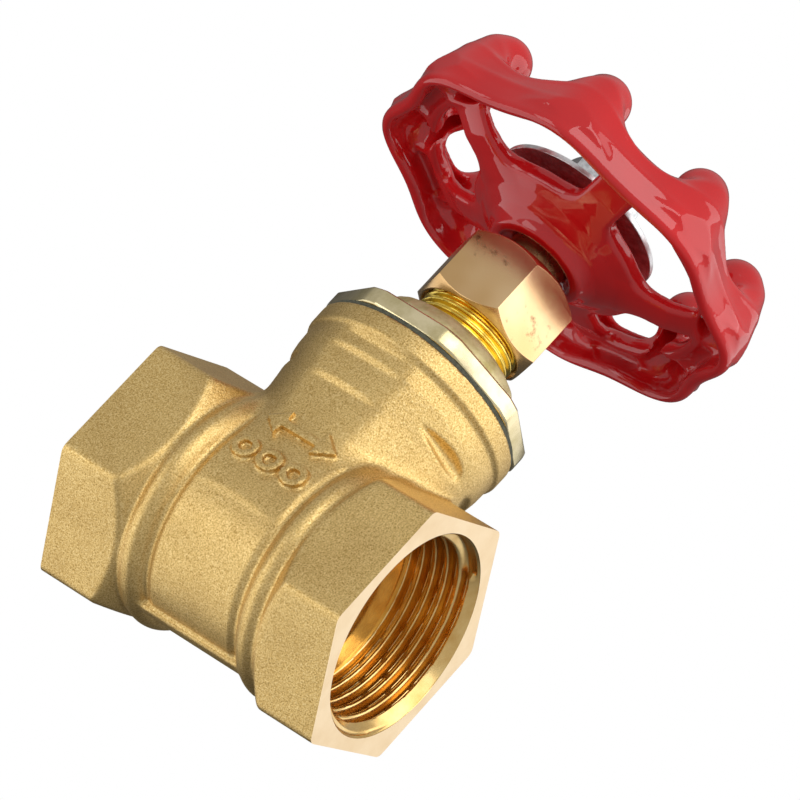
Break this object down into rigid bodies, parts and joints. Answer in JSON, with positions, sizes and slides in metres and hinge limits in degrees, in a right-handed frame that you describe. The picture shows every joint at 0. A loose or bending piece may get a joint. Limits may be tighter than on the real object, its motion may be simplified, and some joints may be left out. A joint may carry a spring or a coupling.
{
  "type": "gate valve",
  "caption": "Brass pipe gate valve with internally threaded hexagonal ports, a sliding wedge gate on a non-rising stem, a packing gland and a lobed red handwheel.",
  "frame": {"origin": "centre of the inlet's face on the flow axis", "axes": "+X along the flow from inlet to outlet, +Z along the stem towards the handwheel"},
  "size_m": [0.0536, 0.0536, 0.0839],
  "materials": {
    "cast_brass": "shot-blasted casting with machined port faces and threads",
    "turned_brass": "turned and slightly tarnished",
    "red_paint": "thick glossy dipped paint",
    "plate_aluminium": "satin sheet",
    "zinc_steel": "zinc plated",
    "gasket_fibre": "pressed fibre",
    "packing_ptfe": "matte white"
  },
  "bodies": {
    "housing": {"valve_body": "cast_brass", "bonnet": "cast_brass", "bonnet_gasket": "gasket_fibre", "thrust_washer": "packing_ptfe", "packing_washer": "turned_brass", "packing_ring_1": "packing_ptfe", "packing_ring_2": "packing_ptfe", "packing_ring_3": "packing_ptfe", "gland_bush": "turned_brass", "packing_nut": "turned_brass"},
    "spindle": {"stem": "turned_brass", "handwheel": "red_paint", "name_plate": "plate_aluminium", "plain_washer": "zinc_steel", "spring_washer": "zinc_steel", "wheel_nut": "zinc_steel"},
    "gate": {"gate_wedge": "cast_brass"}
  },
  "joints": [
    {"name": "stem_spin", "type": "hinge", "parent": "housing", "child": "spindle", "pos_m": [0.0212, 0, 0.035], "axis": [0, 0, 1], "range_deg": [0, 1980]},
    {"name": "gate_lift", "type": "slide", "parent": "housing", "child": "gate", "axis": [0, 0, 1], "range_m": [0, 0.0176]}
  ],
  "couplings": [
    {"joint": "gate_lift", "follows": "stem_spin", "m_per_rad": 0.0005093}
  ]
}
